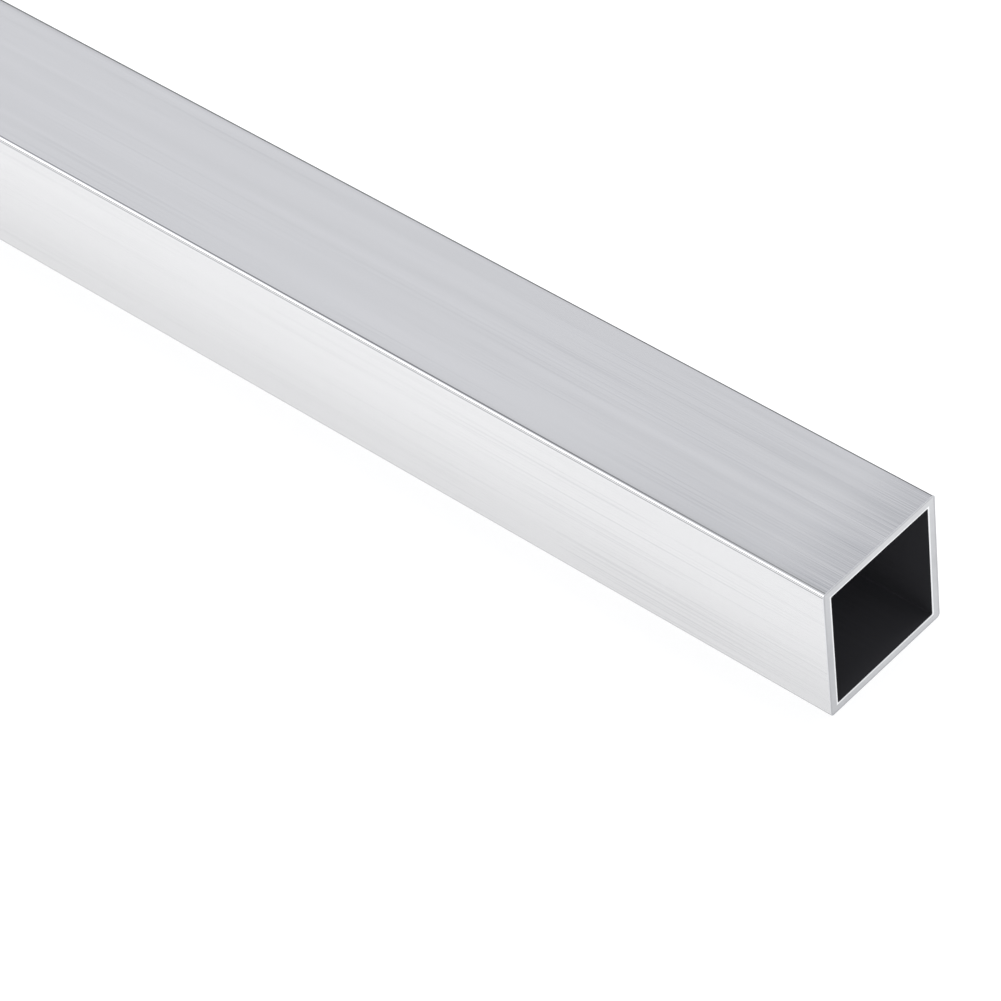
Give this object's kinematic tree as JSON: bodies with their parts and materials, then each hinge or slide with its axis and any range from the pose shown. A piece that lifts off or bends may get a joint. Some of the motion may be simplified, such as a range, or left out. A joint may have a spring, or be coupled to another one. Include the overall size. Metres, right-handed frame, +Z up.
{
  "type": "square tube",
  "caption": "Square hollow tube of mill-finish extruded aluminium, a straight length of framing stock with flat walls, nearly sharp corners, an open square bore and sawn, deburred ends.",
  "frame": {"origin": "middle of the flat underside, halfway along the tube", "axes": "+X along the tube's length towards the end that the picture shows, +Z up out of the top face, -Y out of the front face"},
  "size_m": [0.5, 0.03, 0.03],
  "materials": {
    "mill_finish_aluminium": "mill finish, as extruded, with fine die lines along the length and sawn ends"
  },
  "bodies": {
    "root": {"square_tube": "mill_finish_aluminium"}
  },
  "joints": []
}
